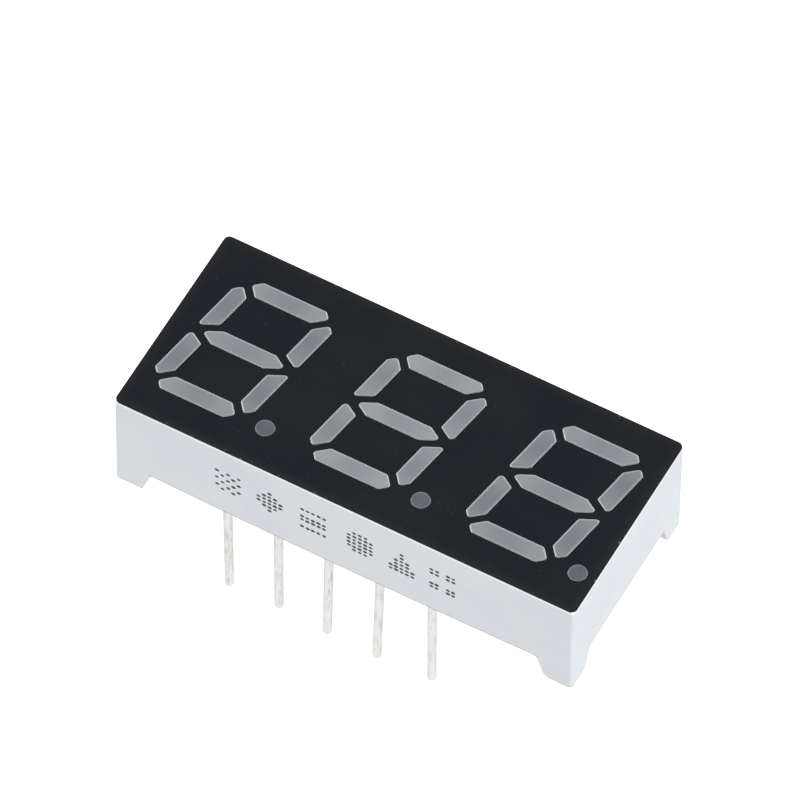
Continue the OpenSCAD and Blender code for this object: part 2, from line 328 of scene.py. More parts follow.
@dataclass(frozen=True)
class Effects:
    """Node groups that several finishes share."""

    cloud: bpy.types.NodeTree
    grain: bpy.types.NodeTree
    specks: bpy.types.NodeTree

    @classmethod
    def make(cls) -> Effects:
        """Build every shared group once."""
        return cls(cls._cloud(), cls._grain(), cls._specks())

    @staticmethod
    def _cloud(detail: float = 4.0) -> bpy.types.NodeTree:
        """Build soft patches, as a mask from 0 to 1.

        Args:
            detail: Detail of the noise.

        Returns:
            The group.
        """
        tree, nodes, given, out = effect_tree(
            "soft_patches",
            {"Place": None, "Scale": 500.0, "Low": 0.35, "High": 0.65},
            ("Mask", "NodeSocketFloat"),
        )
        noise = nodes.add("ShaderNodeTexNoise")
        noise.inputs["Detail"].default_value = detail
        nodes.feed(noise.inputs["Vector"], given.outputs["Place"])
        nodes.feed(noise.inputs["Scale"], given.outputs["Scale"])
        mask = nodes.ramp(noise.outputs["Fac"], given.outputs["Low"], given.outputs["High"])
        nodes.feed(out.inputs["Mask"], mask)
        return tree

    @staticmethod
    def _grain(detail: float = 2.0) -> bpy.types.NodeTree:
        """Build the fine grain of a surface, as a normal.

        Args:
            detail: Detail of the noise.

        Returns:
            The group.
        """
        tree, nodes, given, out = effect_tree(
            "fine_grain",
            {"Place": None, "Scale": 9000.0, "Depth": 0.000004},
            ("Normal", "NodeSocketVector"),
        )
        noise = nodes.add("ShaderNodeTexNoise")
        noise.inputs["Detail"].default_value = detail
        nodes.feed(noise.inputs["Vector"], given.outputs["Place"])
        nodes.feed(noise.inputs["Scale"], given.outputs["Scale"])
        bump = nodes.add("ShaderNodeBump")
        nodes.feed(bump.inputs["Distance"], given.outputs["Depth"])
        nodes.feed(bump.inputs["Height"], noise.outputs["Fac"])
        nodes.feed(out.inputs["Normal"], bump.outputs["Normal"])
        return tree

    @staticmethod
    def _specks(full_at: float = 0.8) -> bpy.types.NodeTree:
        """Build rare small specks of dust, as a mask from 0 to 1.

        Args:
            full_at: Share of the way from a speck's rim to its middle where it is full.

        Returns:
            The group.
        """
        tree, nodes, given, out = effect_tree(
            "dust_specks",
            {"Place": None, "Scale": 800.0, "Size": 0.05, "Rarity": 0.9},
            ("Mask", "NodeSocketFloat"),
        )
        cells = nodes.add("ShaderNodeTexVoronoi")
        nodes.feed(cells.inputs["Vector"], given.outputs["Place"])
        nodes.feed(cells.inputs["Scale"], given.outputs["Scale"])
        far = nodes.math("DIVIDE", cells.outputs["Distance"], given.outputs["Size"])
        near = nodes.math("SUBTRACT", 1.0, far)
        apart = nodes.add("ShaderNodeSeparateColor")
        nodes.feed(apart.inputs[0], cells.outputs["Color"])
        rare = nodes.math("GREATER_THAN", apart.outputs[0], given.outputs["Rarity"])
        bright = nodes.math("MULTIPLY", nodes.ramp(near, 0.0, full_at), apart.outputs[1])
        nodes.feed(out.inputs["Mask"], nodes.math("MULTIPLY", bright, rare))
        return tree

    def patched(self, nodes: Nodes, place: Socket, size: Patches) -> Socket:
        """Place soft patches.

        Args:
            nodes: Builder of the tree.
            place: Coordinates.
            size: Size of the patches.

        Returns:
            The mask, from 0 to 1.
        """
        return nodes.group(
            self.cloud, Place=place, Scale=size.scale, Low=size.low, High=size.high
        )

    def grained(self, nodes: Nodes, place: Socket, size: Grain) -> Socket:
        """Place fine grain.

        Args:
            nodes: Builder of the tree.
            place: Coordinates.
            size: Size of the grain.

        Returns:
            The normal.
        """
        return nodes.group(self.grain, Place=place, Scale=size.scale, Depth=size.depth)

    def dusted(self, nodes: Nodes, place: Socket, size: Dust) -> Socket:
        """Place specks of dust.

        Args:
            nodes: Builder of the tree.
            place: Coordinates.
            size: Size of the specks.

        Returns:
            The mask, from 0 to 1.
        """
        return nodes.group(
            self.specks, Place=place, Scale=size.scale, Size=size.size, Rarity=size.rarity
        )


class Finish(Protocol):
    """A finish: its colour in plain views, and the nodes of its surface."""

    def plain(self) -> Colour:
        """Give the linear colour that shows in plain views."""

    def fill(self, nodes: Nodes) -> dict[str, Socket | float | Colour]:
        """Fill the tree.

        Args:
            nodes: Builder of the tree.

        Returns:
            The surface's inputs by name.
        """


def finished(name: str, finish: Finish) -> bpy.types.Material:
    """Make a material with a Principled surface.

    Args:
        name: Name of the material.
        finish: Its finish.

    Returns:
        The finished material.
    """
    material = bpy.data.materials.new(name)
    material.use_nodes = True
    material.diffuse_color = (*finish.plain(), 1)
    nodes = Nodes(material.node_tree)
    shader = nodes.add("ShaderNodeBsdfPrincipled")
    for label, value in finish.fill(nodes).items():
        nodes.feed(shader.inputs[label], value)
    output = nodes.add("ShaderNodeOutputMaterial")
    nodes.feed(output.inputs["Surface"], shader.outputs[0])
    return material


@dataclass(frozen=True)
class WhitePlastic:
    """Satin white moulding, with a painted highlight along its upper edge and a painted shade
    line along its lower edges.
    """

    effects: Effects
    colour: Colour = shown(228, 233, 237)
    patch: Colour = shown(225, 229, 235)
    # Colour of the painted highlight along the upper edge of the walls
    edge: Colour = shown(254, 255, 255)
    # Colour of the painted shade line along the lower edges
    streak_and_painted_shade: Colour = shown(186, 188, 193)
    dust: Colour = shown(190, 188, 184)
    roughness: float = 0.45
    specular: float = 0.35
    patches: Patches = Patches(330.0, 0.4, 0.7)
    specks: Dust = Dust(900.0, 0.05, 0.94)
    speck_share: float = 0.5
    grain: Grain = Grain(7000.0, 0.000003)
    # Heights in millimetres where the painted highlight along the upper edge starts and is full
    highlight_low: float = 12.26
    highlight_high: float = 12.31
    seat_z: float = 6.6
    wall_z: float = 7.86
    wall_bow: float = 0.12
    bow_half: float = 9.525
    bow_fade: float = 1.02
    side_half: float = 3.39
    side_fade: float = 0.1
    # Width of the painted shade line in millimetres, and the share of that width where it is
    # full
    painted_shade_band: float = 0.09
    painted_shade_core: float = 0.3
    under_fade: tuple[float, float] = (-0.04, -0.01)

    def plain(self) -> Colour:
        """Give the linear colour that shows in plain views."""
        return self.colour

    def lower_edge_shade(self, nodes: Nodes, x: Socket, y: Socket, z: Socket) -> Socket:
        """Mask the painted shade line along the lower edges of the walls and feet.

        Args:
            nodes: Builder of the tree.
            x: X of the point, in metres.
            y: Y of the point, in metres.
            z: Z of the point, in metres.

        Returns:
            The mask, from 0 to 1.
        """
        across = nodes.math("ABSOLUTE", x)
        share = nodes.math("DIVIDE", across, self.bow_half * MM)
        long_wall = nodes.ramp(share, 1.0, self.bow_fade, 1.0, 0.0)
        side_end = self.side_half + self.side_fade
        end_wall = nodes.ramp(
            nodes.math("ABSOLUTE", y), self.side_half * MM, side_end * MM, 1.0, 0.0
        )
        squared = nodes.math("MULTIPLY", share, share)
        sag = nodes.math("MULTIPLY", nodes.math("SUBTRACT", 1.0, squared), self.wall_bow * MM)
        edge_z = nodes.math(
            "SUBTRACT", self.wall_z * MM, nodes.math("MULTIPLY", sag, long_wall)
        )
        over = nodes.math("SUBTRACT", z, edge_z)
        under_low, under_high = self.under_fade
        core = self.painted_shade_core * self.painted_shade_band
        # The painted shade line just above each wall's lower edge
        line = nodes.math(
            "MULTIPLY",
            nodes.ramp(over, under_low * MM, under_high * MM),
            nodes.ramp(over, core * MM, self.painted_shade_band * MM, 1.0, 0.0),
        )
        wall = nodes.math("MULTIPLY", line, nodes.math("MAXIMUM", long_wall, end_wall))
        # The painted shade line along the bottoms of the feet
        low, high = self.seat_z + core, self.seat_z + self.painted_shade_band
        return nodes.math("MAXIMUM", wall, nodes.ramp(z, low * MM, high * MM, 1.0, 0.0))

    def fill(self, nodes: Nodes) -> dict[str, Socket | float | Colour]:
        """Fill the tree, as Finish says.

        Args:
            nodes: Builder of the tree.

        Returns:
            The surface's inputs by name.
        """
        place = nodes.place()
        cloud = self.effects.patched(nodes, place, self.patches)
        specks = self.effects.dusted(nodes, place, self.specks)
        apart = nodes.add("ShaderNodeSeparateXYZ")
        nodes.feed(apart.inputs[0], place)
        # Painted highlight: towards their upper edge the walls take the highlight colour
        upper = nodes.ramp(apart.outputs["Z"], self.highlight_low * MM, self.highlight_high * MM)
        walls = nodes.mix(upper, nodes.mix(cloud, self.colour, self.patch), self.edge)
        # Painted shade: a darker line along the lower edges of the walls and feet
        walls = nodes.mix(self.lower_edge_shade(nodes, *apart.outputs), walls, self.streak_and_painted_shade)
        dusty = nodes.math("MULTIPLY", specks, self.speck_share)
        return {
            "Base Color": nodes.mix(dusty, walls, self.dust),
            "Roughness": self.roughness,
            "Specular IOR Level": self.specular,
            "Normal": self.effects.grained(nodes, place, self.grain),
        }


@dataclass(frozen=True)
class BlackPrint:
    """Satin black print with a little dust, thinner and with small nicks along its outline."""

    effects: Effects
    half_x: float = 11.283
    half_y: float = 4.978
    nick_band: float = 0.14
    thin_band: float = 0.5
    colour: Colour = shown(24, 26, 32)
    patch: Colour = shown(28, 30, 34)
    thin: Colour = shown(34, 36, 40)
    dust: Colour = shown(190, 188, 190)
    roughness: float = 0.5
    specular: float = 0.075
    patches: Patches = Patches(260.0, 0.4, 0.7)
    specks: Dust = Dust(1100.0, 0.07, 0.94)
    speck_share: float = 0.3
    fine_specks: Dust = Dust(4000.0, 0.2, 0.81)
    fine_share: float = 0.08
    nicks: Dust = Dust(3800.0, 0.3, 0.72)
    nick_share: float = 0.55
    grain: Grain = Grain(12000.0, 0.000002)

    def plain(self) -> Colour:
        """Give the linear colour that shows in plain views."""
        return self.colour

    def fill(self, nodes: Nodes) -> dict[str, Socket | float | Colour]:
        """Fill the tree, as Finish says.

        Args:
            nodes: Builder of the tree.

        Returns:
            The surface's inputs by name.
        """
        place = nodes.place()
        cloud = self.effects.patched(nodes, place, self.patches)
        specks = self.effects.dusted(nodes, place, self.specks)
        fine = self.effects.dusted(nodes, place, self.fine_specks)
        dusty = nodes.math(
            "MAXIMUM",
            nodes.math("MULTIPLY", specks, self.speck_share),
            nodes.math("MULTIPLY", fine, self.fine_share),
        )
        nicks = self.effects.dusted(nodes, place, self.nicks)
        nicked = nodes.math("MULTIPLY", nicks, self.outline(nodes, self.nick_band))
        worn = nodes.math("MULTIPLY", nicked, self.nick_share)
        cover = nodes.mix(
            self.outline(nodes, self.thin_band),
            nodes.mix(cloud, self.colour, self.patch),
            self.thin,
        )
        return {
            "Base Color": nodes.mix(nodes.math("MAXIMUM", dusty, worn), cover, self.dust),
            "Roughness": self.roughness,
            "Specular IOR Level": self.specular,
            "Normal": self.effects.grained(nodes, place, self.grain),
        }

    def outline(self, nodes: Nodes, band: float) -> Socket:
        """Mask the band along the outline of the print.

        Args:
            nodes: Builder of the tree.
            band: Width of the band, in millimetres.

        Returns:
            The mask, from 0 to 1 at the outline.
        """
        apart = nodes.add("ShaderNodeSeparateXYZ")
        nodes.feed(apart.inputs[0], nodes.place())
        bands = []
        for axis, half in (("X", self.half_x), ("Y", self.half_y)):
            inner = (half - band) * MM
            out = nodes.math("ABSOLUTE", apart.outputs[axis])
            bands.append(nodes.ramp(out, inner, half * MM))
        return nodes.math("MAXIMUM", *bands)


@dataclass(frozen=True)
class MilkyResin:
    """Milky resin in a light well: a painted highlight at its edge, painted light at its ends
    and painted shade over its lamp, the LED chip.
    """

    effects: Effects
    # Painted shade over the middle, above the LED chip, and painted light towards the ends,
    # each made paler by the piece's tone
    middle: Colour = shown(117, 122, 128)
    end: Colour = shown(132, 135, 139)
    pale: Colour = shown(141, 145, 150)
    pale_end: Colour = shown(156, 158, 161)
    # Colour of the painted highlight along the rim, and also of the dust specks
    edge: Colour = shown(168, 171, 174)
    rim_highlight_share: float = 0.8
    rim_highlight_width: float = 0.08
    roughness: float = 0.32
    specular: float = 0.3
    patches: Patches = Patches(420.0, 0.3, 0.7)
    patch_reach: float = 0.25
    # Reach, from the middle towards the ends, where the painted light of the ends starts and is
    # full
    lamp_reach: float = 0.05
    end_reach: float = 1.15
    specks: Dust = Dust(2500.0, 0.1, 0.95)
    speck_share: float = 0.4
    grain: Grain = Grain(2500.0, 0.000003)

    def plain(self) -> Colour:
        """Give the linear colour that shows in plain views."""
        return self.middle

    def fill(self, nodes: Nodes) -> dict[str, Socket | float | Colour]:
        """Fill the tree, as Finish says.

        Args:
            nodes: Builder of the tree.

        Returns:
            The surface's inputs by name.
        """
        place = nodes.place()
        cloud = self.effects.patched(nodes, place, self.patches)
        shifted = nodes.math("MULTIPLY", cloud, self.patch_reach)
        along = nodes.math("ADD", nodes.attribute("reach"), shifted)
        tone = nodes.attribute("tone")
        # Painted shade over the LED chip, and painted light towards the ends of the segment
        body = nodes.mix(
            nodes.ramp(along, self.lamp_reach, self.end_reach),
            nodes.mix(tone, self.middle, self.pale),
            nodes.mix(tone, self.end, self.pale_end),
        )
        # Painted highlight: a light rim along the edge of the top
        near = nodes.ramp(
            nodes.attribute("edge_distance"), 0.0, self.rim_highlight_width, self.rim_highlight_share, 0.0
        )
        specks = self.effects.dusted(nodes, place, self.specks)
        tinted = nodes.mix(nodes.math("MULTIPLY", specks, self.speck_share), body, self.edge)
        return {
            "Base Color": nodes.mix(near, tinted, self.edge),
            "Roughness": self.roughness,
            "Specular IOR Level": self.specular,
            "Normal": self.effects.grained(nodes, place, self.grain),
        }


@dataclass(frozen=True)
class TinnedWire:
    """Dull tinned wire, with darker streaks along it and blotches."""

    effects: Effects
    bright: Colour = shown(245, 247, 244)
    streak_and_painted_shade: Colour = shown(222, 222, 218)
    stain: Colour = shown(172, 169, 164)
    rim: Colour = (0.72, 0.72, 0.71)
    stretch: Colour = (1.0, 1.0, 0.16)
    streaks: Patches = Patches(6500.0, 0.42, 0.7)
    streak_share: float = 0.62
    streak_gloss: tuple[float, float] = (0.3, 0.45)
    blotches: Patches = Patches(11000.0, 0.56, 0.68)
    blotch_share: float = 0.35
    grain: Grain = Grain(5000.0, 0.000006)

    def plain(self) -> Colour:
        """Give the linear colour that shows in plain views."""
        return self.bright

    def fill(self, nodes: Nodes) -> dict[str, Socket | float | Colour]:
        """Fill the tree, as Finish says.

        Args:
            nodes: Builder of the tree.

        Returns:
            The surface's inputs by name.
        """
        drawn = nodes.stretched(nodes.place(), self.stretch)
        streak = self.effects.patched(nodes, drawn, self.streaks)
        blotch = self.effects.patched(nodes, drawn, self.blotches)
        streaked = nodes.math("MULTIPLY", streak, self.streak_share)
        stained = nodes.mix(streaked, self.bright, self.streak_and_painted_shade)
        blotched = nodes.math("MULTIPLY", blotch, self.blotch_share)
        return {
            "Base Color": nodes.mix(blotched, stained, self.stain),
            "Metallic": 1.0,
            "Specular Tint": self.rim,
            "Roughness": nodes.ramp(streak, 0.0, 1.0, *self.streak_gloss),
            "Normal": self.effects.grained(nodes, drawn, self.grain),
        }


@dataclass(frozen=True)
class PlainFinish:
    """A finish with soft patches and grain, for print, board, metals, resin and chips."""

    effects: Effects
    colour: Colour
    roughness: float
    metallic: float = 0.0
    transmission: float = 0.0
    patch_share: float = 0.3
    patches: Patches = Patches(900.0, 0.35, 0.7)
    grain: Grain = Grain(4000.0, 0.000004)

    def plain(self) -> Colour:
        """Give the linear colour that shows in plain views."""
        return self.colour

    def fill(self, nodes: Nodes) -> dict[str, Socket | float | Colour]:
        """Fill the tree, as Finish says.

        Args:
            nodes: Builder of the tree.

        Returns:
            The surface's inputs by name.
        """
        place = nodes.place()
        cloud = self.effects.patched(nodes, place, self.patches)
        darker = tuple(c * (1 - self.patch_share) for c in self.colour)
        return {
            "Base Color": nodes.mix(cloud, self.colour, darker),
            "Roughness": self.roughness,
            "Metallic": self.metallic,
            "Transmission Weight": self.transmission,
            "Normal": self.effects.grained(nodes, place, self.grain),
        }


@dataclass
class Finishes:
    """Every material of the display, by the record's slot or by piece."""

    made: dict[str, bpy.types.Material] = field(default_factory=dict)

    def build(self) -> None:
        """Make the materials."""
        effects = Effects.make()
        finishes: dict[str, Finish] = {
            "white_plastic": WhitePlastic(effects),
            "black_print": BlackPrint(effects),
            "milky_resin": MilkyResin(effects),
            "point_resin": MilkyResin(
                effects,
                middle=shown(82, 87, 95),
                end=shown(90, 95, 103),
                pale=shown(86, 91, 99),
                pale_end=shown(94, 99, 107),
                # A painted highlight along the rim of each point
                edge=shown(128, 133, 139),
                rim_highlight_share=0.85,
                rim_highlight_width=0.06,
            ),
            "wall_print": PlainFinish(effects, shown(64, 64, 68), 0.6),
            "board": PlainFinish(effects, (0.05, 0.15, 0.07), 0.4),
            "copper": PlainFinish(effects, (0.72, 0.4, 0.22), 0.35, metallic=1.0),
            "solder": PlainFinish(effects, (0.6, 0.6, 0.61), 0.38, metallic=1.0),
            "potting_resin": PlainFinish(
                effects, (0.66, 0.66, 0.58), 0.25, transmission=0.3, patch_share=0.12
            ),
            "chip": PlainFinish(effects, (0.2, 0.18, 0.17), 0.3),
            "gold": PlainFinish(effects, (0.83, 0.62, 0.25), 0.25, metallic=1.0),
            "tinned_wire": TinnedWire(effects),
        }
        for name, finish in finishes.items():
            self.made[name] = finished(name, finish)


def add_piece(name: str, mesh: bpy.types.Mesh, node: str | None = None) -> None:
    """Put a piece on the display's body.

    Args:
        name: Name of the piece.
        mesh: Its mesh, with its place in it.
        node: CAD node that it stands for, if there is one.
    """
    obj = bpy.data.objects.new(name, mesh)
    bpy.context.scene.collection.objects.link(obj)
    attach(obj, BODY)
    if node is not None:
        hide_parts(node)


@dataclass(frozen=True)
class Top:
    """The top of a slug: outline, middle, direction and half of its length, and height."""

    outline: list[Vector]
    middle: Vector
    along: Vector
    half: float
    z: float


@dataclass
class ResinSlugs:
    """The resin of the segments and points, with a hollowed top that climbs to its edge."""

    nodes: dict[str, bpy.types.Object]
    finishes: dict[str, bpy.types.Material]
    edge_steps: tuple[float, ...] = (0.025, 0.03, 0.04)
    level_tone: float = 0.45
    middle_digit_tone: float = 0.35
    hollow: float = 0.012
    climb: float = 0.04
    print_t: float = 0.05
    overrun: float = 0.025
    cuts: tuple[float, ...] = (-0.75, -0.5, -0.25, 0.0, 0.25, 0.5, 0.75)

    def build(self) -> None:
        """Build a slug for each CAD light guide."""
        for name in sorted(self.nodes):
            if name.startswith("segment_"):
                self.slug(name, name.replace("segment_", "resin_"), "milky_resin")
            elif name.startswith("decimal_point_"):
                self.slug(name, name.replace("decimal_point_", "resin_point_"), "point_resin")

    def slug(self, node: str, piece: str, finish: str) -> None:
        """Build one slug from its CAD node, and let it stand for the node.

        Args:
            node: Name of the CAD node.
            piece: Name of the piece.
            finish: Name of the piece's material.
        """
        bm = bmesh.new()
        bm.from_mesh(self.nodes[node].data)
        bmesh.ops.remove_doubles(bm, verts=bm.verts, dist=MERGED)
        height = max(v.co.z for v in bm.verts)
        cap = [f for f in bm.faces if all(v.co.z > height - LEVEL for v in f.verts)]
        face = bmesh.ops.dissolve_faces(bm, faces=cap)["region"][0]
        is_point = "point" in node
        if is_point:
            face = self.overflow(bm, height)
        outline = [v.co.copy() for v in face.verts]
        middle = sum(outline, Vector()) / len(outline)
        along = self.axis(outline, middle)
        half = max(abs((p - middle).dot(along)) for p in outline)
        top = Top(outline, middle, along, half, height)
        for edge in face.edges:
            edge.smooth = False
        strips = [face] if is_point else self.split(bm, face, top)
        for step in self.edge_steps:
            bmesh.ops.inset_region(
                bm, faces=strips, thickness=step * MM, use_even_offset=True, use_boundary=True
            )
        self.hollow_out(bm, top)
        level = self.level_tone if abs(along.x) > abs(along.y) else 0.0
        shade = level + (self.middle_digit_tone if node.endswith("_2") else 0.0)
        tone = bm.verts.layers.float.new("tone")
        for vert in bm.verts:
            vert[tone] = shade
        mesh = bpy.data.meshes.new(piece)
        bm.to_mesh(mesh)
        bm.free()
        mesh.materials.append(self.finishes[finish])
        add_piece(piece, mesh, node)

    def overflow(self, bm: bmesh.types.BMesh, height: float) -> bmesh.types.BMFace:
        """Let the resin of a point run a little over the rim of its well.

        Args:
            bm: Mesh of the slug.
            height: Height of the top.

        Returns:
            The top.
        """
        bmesh.ops.bisect_plane(
            bm,
            geom=[*bm.verts, *bm.edges, *bm.faces],
            dist=ON_CUT,
            plane_co=(0, 0, height - self.print_t * MM),
            plane_no=(0, 0, 1),
        )
        face = max(bm.faces, key=lambda f: f.calc_center_median().z)
        middle = face.calc_center_median()
        for vert in face.verts:
            vert.co += (vert.co - middle).normalized() * self.overrun * MM
        return face

    @staticmethod
    def axis(outline: list[Vector], middle: Vector) -> Vector:
        """Find the direction of an outline's length.

        Args:
            outline: Corners of the outline.
            middle: Middle of the outline.

        Returns:
            The direction, of length 1.
        """
        spread = [p - middle for p in outline]
        xx = sum(p.x * p.x for p in spread)
        yy = sum(p.y * p.y for p in spread)
        xy = sum(p.x * p.y for p in spread)
        turn = 0.5 * math.atan2(2 * xy, xx - yy)
        return Vector((math.cos(turn), math.sin(turn), 0))

    def split(
        self, bm: bmesh.types.BMesh, face: bmesh.types.BMFace, top: Top
    ) -> list[bmesh.types.BMFace]:
        """Split the top into strips across its length.

        Args:
            bm: Mesh of the slug.
            face: Face of its top.
            top: Measures of its top.

        Returns:
            The strips.
        """
        strips = [face]
        for cut in self.cuts:
            edges = {e for f in strips for e in f.edges}
            verts = {v for f in strips for v in f.verts}
            made = bmesh.ops.bisect_plane(
                bm,
                geom=[*strips, *edges, *verts],
                dist=ON_CUT,
                plane_co=top.middle + top.along * (cut * top.half),
                plane_no=top.along,
            )
            strips = [g for g in made["geom"] if isinstance(g, bmesh.types.BMFace)]
        return strips

    def hollow_out(self, bm: bmesh.types.BMesh, top: Top) -> None:
        """Hollow the top, and note each corner's distance from the edge and from the middle.

        Args:
            bm: Mesh of the slug.
            top: Measures of its top.
        """
        distance = bm.verts.layers.float.new("edge_distance")
        reach = bm.verts.layers.float.new("reach")
        upper = [v for v in bm.verts if v.co.z > top.z - LEVEL]
        for vert in upper:
            gap = edge_distance(vert.co, top.outline) / MM
            vert[distance] = gap
            vert[reach] = abs((vert.co - top.middle).dot(top.along)) / top.half
            vert.co.z -= self.hollow * MM * (1 - math.exp(-gap / self.climb))
        chosen = set(upper)
        for face in bm.faces:
            if all(v in chosen for v in face.verts):
                face.smooth = True


def edge_distance(point: Vector, outline: list[Vector]) -> float:
    """Measure how far a point is from an outline.

    Args:
        point: The point.
        outline: Corners of the closed outline.

    Returns:
        The distance, in the units of the points.
    """
    nearest = math.inf
    for start, end in pairwise([*outline, outline[0]]):
        side = end - start
        share = max(0.0, min(1.0, (point - start).dot(side) / side.length_squared))
        nearest = min(nearest, (point - start - side * share).length)
    return nearest


@dataclass
class FacePrint:
    """The black print of the face, whose lip covers the top of the housing's rounded edge."""

    node: bpy.types.Object
    material: bpy.types.Material
    edge_r: float = 0.07
    corner_r: float = 0.2
    lip_out: float = 0.069
    lip_round: float = 0.012
    lip_down: float = 0.03
    reach: float = 55.0
    steps: int = 4
    gap: float = 0.001
    wall_lean: float = 0.5
    on_rim: float = 0.98

    def build(self) -> None:
        """Build the print from its CAD node, and let it stand for the node."""
        bm = bmesh.new()
        bm.from_mesh(self.node.data)
        bmesh.ops.remove_doubles(bm, verts=bm.verts, dist=MERGED)
        half = Vector((max(v.co.x for v in bm.verts), max(v.co.y for v in bm.verts)))
        deck, top = min(v.co.z for v in bm.verts), max(v.co.z for v in bm.verts)
        rim = {v: self.outward(v.co, half) for v in bm.verts}
        rim = {v: out for v, out in rim.items() if out is not None}
        walls = [
            f for f in bm.faces
            if all(v in rim for v in f.verts) and abs(f.normal.z) < self.wall_lean
        ]
        bmesh.ops.delete(bm, geom=walls, context="FACES")
        around = sorted(rim, key=lambda v: math.atan2(v.co.y, v.co.x))
        upper = [v for v in around if v.co.z > (deck + top) / 2]
        lower = [v for v in around if v.co.z <= (deck + top) / 2]
        rings = [upper]
        for out, height in self.profile(top - deck):
            rings.append([
                bm.verts.new((*(v.co.xy + rim[v] * out), deck + height)) for v in upper
            ])
        rings.append(lower)
        for above, below in pairwise(rings):
            for i, vert in enumerate(above):
                face = bm.faces.new((below[i - 1], below[i], vert, above[i - 1]))
                face.smooth = True
        mesh = bpy.data.meshes.new("face_print")
        bm.to_mesh(mesh)
        bm.free()
        mesh.materials.append(self.material)
        add_piece("face_print", mesh, self.node.name)

    def outward(self, point: Vector, half: Vector) -> Vector | None:
        """Find the direction that points out of the print's outline.

        Args:
            point: A corner of the print.
            half: Half of the print's length and depth, in metres.

        Returns:
            The direction, of length 1, or None where the corner is not on the outline.
        """
        radius = self.corner_r * MM
        core = Vector((
            max(radius - half.x, min(half.x - radius, point.x)),
            max(radius - half.y, min(half.y - radius, point.y)),
        ))
        arm = point.xy - core
        return arm.normalized() if arm.length > self.on_rim * radius else None

    def profile(self, thickness: float) -> list[tuple[float, float]]:
        """Work out the section of the print where it bends over the edge.

        Args:
            thickness: Thickness of the print, in metres.

        Returns:
            How far out and how high above the deck each point is, in metres, from the upper
            side round its end to the lower side.
        """
        lip_r = self.lip_round * MM
        turns = [math.radians(90 * i / self.steps) for i in range(self.steps + 1)]
        end = self.lip_out * MM
        upper = [
            (end - lip_r * (1 - math.sin(a)), thickness - lip_r * (1 - math.cos(a)))
            for a in turns
        ]
        lip = [(end, -self.lip_down * MM)]
        radius = (self.edge_r + self.gap) * MM
        turns = [math.radians(self.reach * i / self.steps) for i in range(self.steps, 0, -1)]
        under = [(radius * math.sin(a), radius * math.cos(a) - self.edge_r * MM) for a in turns]
        return upper + lip + under


